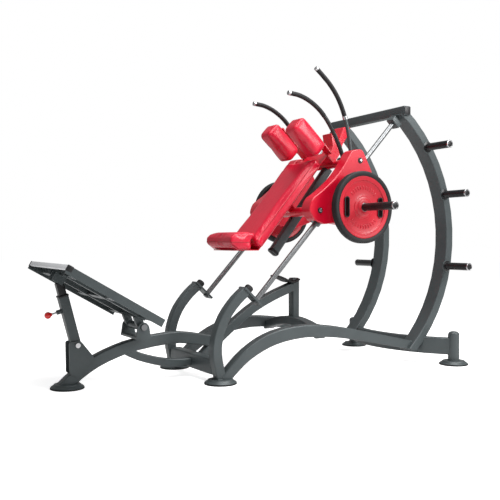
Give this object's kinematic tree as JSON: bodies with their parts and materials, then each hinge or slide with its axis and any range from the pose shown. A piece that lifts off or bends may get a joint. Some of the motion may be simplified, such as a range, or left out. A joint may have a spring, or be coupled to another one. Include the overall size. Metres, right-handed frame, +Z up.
{
  "type": "leg press machine",
  "caption": "Plate-loaded leg press with a padded sled on two inclined guide rods, an adjustable foot plate, loading horns and curved uprights with storage pegs.",
  "frame": {"origin": "on the floor, at the middle of the machine's bounding box", "axes": "+X from the foot plate towards the uprights, +Y towards the user's right hand when seated facing the foot plate, +Z up"},
  "size_m": [2.716, 1.53, 1.9259],
  "materials": {
    "frame_paint": "satin",
    "sled_paint": "satin",
    "upholstery": "satin",
    "plate_paint": "satin",
    "chrome": "polished",
    "black_rubber": "matte",
    "black_paint": "satin",
    "knob_red": "gloss"
  },
  "bodies": {
    "frame": {"arch_crossbeam": "frame_paint", "bumper_left": "black_rubber", "bumper_right": "black_rubber", "centre_brace": "frame_paint", "front_foot": "frame_paint", "front_spine": "frame_paint", "guide_rod_left": "chrome", "guide_rod_right": "chrome", "leg_left": "frame_paint", "leg_right": "frame_paint", "lower_bow_tube": "frame_paint", "middle_crossmember": "frame_paint", "middle_foot_left": "frame_paint", "middle_foot_right": "frame_paint", "post_pivot_bolt": "chrome", "rear_beam": "frame_paint", "rear_foot_left": "frame_paint", "rear_foot_right": "frame_paint", "rod_clamp_left": "frame_paint", "rod_clamp_right": "frame_paint", "side_arch_left": "frame_paint", "side_arch_right": "frame_paint", "step_hinge_pin": "chrome", "step_hinge_saddle": "frame_paint", "stop_cradle": "black_rubber", "storage_peg_left_1": "black_paint", "storage_peg_left_2": "black_paint", "storage_peg_left_3": "black_paint", "storage_peg_right_1": "black_paint", "storage_peg_right_2": "black_paint", "storage_peg_right_3": "black_paint", "top_bar": "frame_paint", "upright_left": "frame_paint", "upright_right": "frame_paint"},
    "sled": {"upper_cross_tube": "sled_paint", "lower_cross_tube": "sled_paint", "stop_tube": "chrome", "back_tube": "frame_paint", "pad_frame": "sled_paint", "head_bracket": "sled_paint", "back_pad": "upholstery", "seat_pad": "upholstery", "side_bracket_left": "sled_paint", "side_bracket_right": "sled_paint", "bearing_tube_left": "chrome", "bearing_tube_right": "chrome", "horn_left": "black_paint", "horn_right": "black_paint", "shoulder_pad_left": "upholstery", "shoulder_pad_right": "upholstery", "handle_left": "black_paint", "handle_right": "black_paint"},
    "plate_left": {"weight_plate_left": "plate_paint"},
    "plate_right": {"weight_plate_right": "plate_paint"},
    "lever": {"release_lever": "frame_paint"},
    "step": {"foot_plate": "frame_paint", "step_frame": "frame_paint"},
    "post_outer": {"post_outer": "frame_paint"},
    "post_inner": {"post_inner": "black_paint"},
    "pull_pin": {"pull_pin": "knob_red"}
  },
  "joints": [
    {"name": "sled_slide", "type": "slide", "parent": "frame", "child": "sled", "axis": [0.6845, 0, 0.729], "range_m": [-0.58, 0.28]},
    {"name": "plate_left_slide", "type": "slide", "parent": "sled", "child": "plate_left", "axis": [0, -1, 0], "range_m": [0, 0.28]},
    {"name": "plate_right_slide", "type": "slide", "parent": "sled", "child": "plate_right", "axis": [0, 1, 0], "range_m": [0, 0.28]},
    {"name": "lever_turn", "type": "hinge", "parent": "sled", "child": "lever", "pos_m": [0.5531, -0.25, 1.3341], "axis": [0, 1, 0], "range_deg": [-20, 0]},
    {"name": "step_tilt", "type": "hinge", "parent": "frame", "child": "step", "pos_m": [-0.8276, 0, 0.33], "axis": [0, 1, 0], "range_deg": [-8, 8]},
    {"name": "post_turn", "type": "hinge", "parent": "frame", "child": "post_outer", "pos_m": [-1.1856, 0, 0.242], "axis": [0, 1, 0], "range_deg": [-8.3, 8.3]},
    {"name": "post_extend", "type": "slide", "parent": "post_outer", "child": "post_inner", "axis": [-0.255, 0, 0.9669], "range_m": [-0.055, 0.055]},
    {"name": "pin_pull", "type": "slide", "parent": "post_outer", "child": "pull_pin", "axis": [-0.9669, 0, -0.255], "range_m": [0, 0.012], "stiffness_N_per_m": 600, "springref_m": -0.004}
  ],
  "couplings": [
    {"joint": "post_turn", "follows": "step_tilt", "ratio": 1.0167},
    {"joint": "post_extend", "follows": "step_tilt", "m_per_rad": 0.3686}
  ]
}
